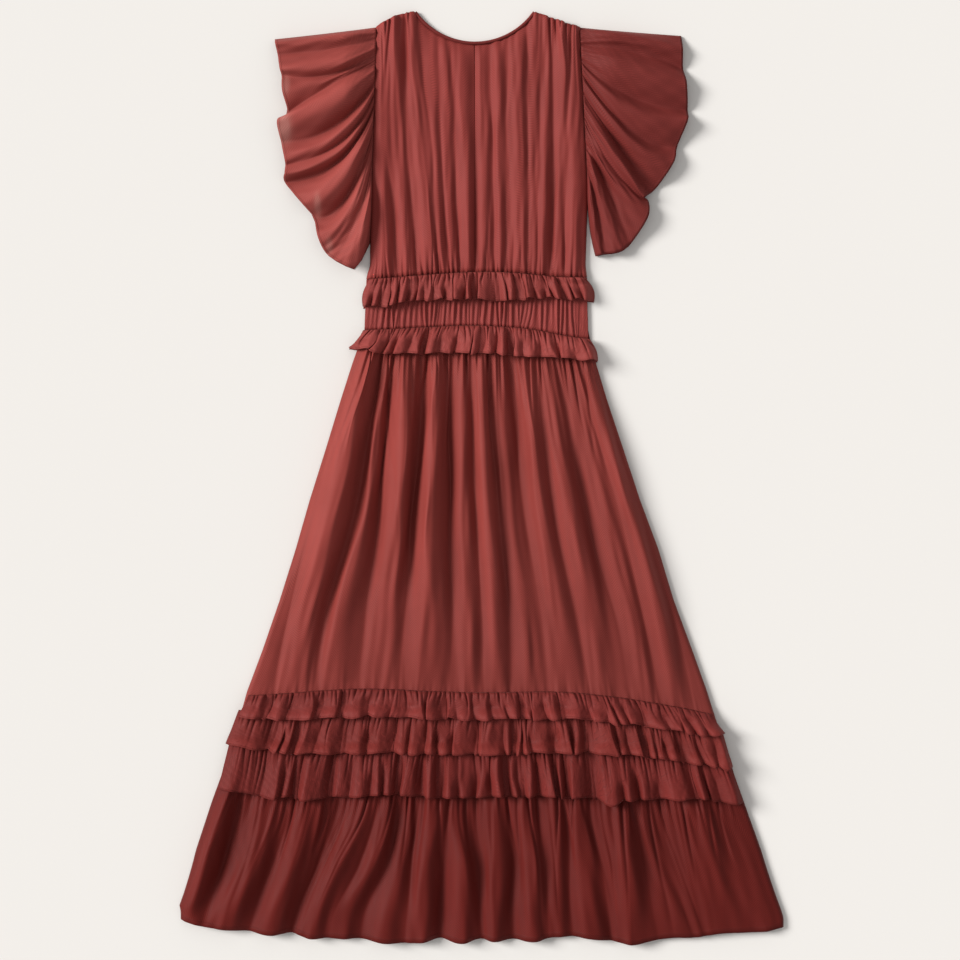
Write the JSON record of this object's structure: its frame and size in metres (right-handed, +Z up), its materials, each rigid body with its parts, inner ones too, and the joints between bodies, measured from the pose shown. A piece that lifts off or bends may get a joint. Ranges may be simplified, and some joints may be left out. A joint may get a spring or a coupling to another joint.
{
  "type": "dress",
  "caption": "A long brick-red dress in soft herringbone cloth, laid flat, with flutter sleeves, frilled waist, three frills above the hem and a scooped neck",
  "frame": {"origin": "middle of the dress's flat outline, on the surface it lies on", "axes": "+Y from the hem to the neck, +X to the right as the picture shows the dress, +Z up out of the surface"},
  "size_m": [0.8402, 1.3, 0.0229],
  "materials": {
    "cloth": "soft woven viscose, fine herringbone, gentle sheen",
    "binding": "folded bias strip of the same cloth"
  },
  "bodies": {
    "root": {"bodice_front_left": "cloth", "bodice_front_right": "cloth", "bodice_back": "cloth", "neck_binding_front": "binding", "neck_binding_back": "binding", "sleeve_left": "cloth", "sleeve_right": "cloth", "waist_panel_front": "cloth", "waist_panel_back": "cloth", "waist_ruffle_upper_front": "cloth", "waist_ruffle_upper_back": "cloth", "waist_ruffle_lower_front": "cloth", "waist_ruffle_lower_back": "cloth", "skirt_front": "cloth", "skirt_back": "cloth", "tier_ruffle_1_front": "cloth", "tier_ruffle_1_back": "cloth", "tier_ruffle_2_front": "cloth", "tier_ruffle_2_back": "cloth", "tier_ruffle_3_front": "cloth", "tier_ruffle_3_back": "cloth", "hem_tier_front": "cloth", "hem_tier_back": "cloth"}
  },
  "joints": []
}
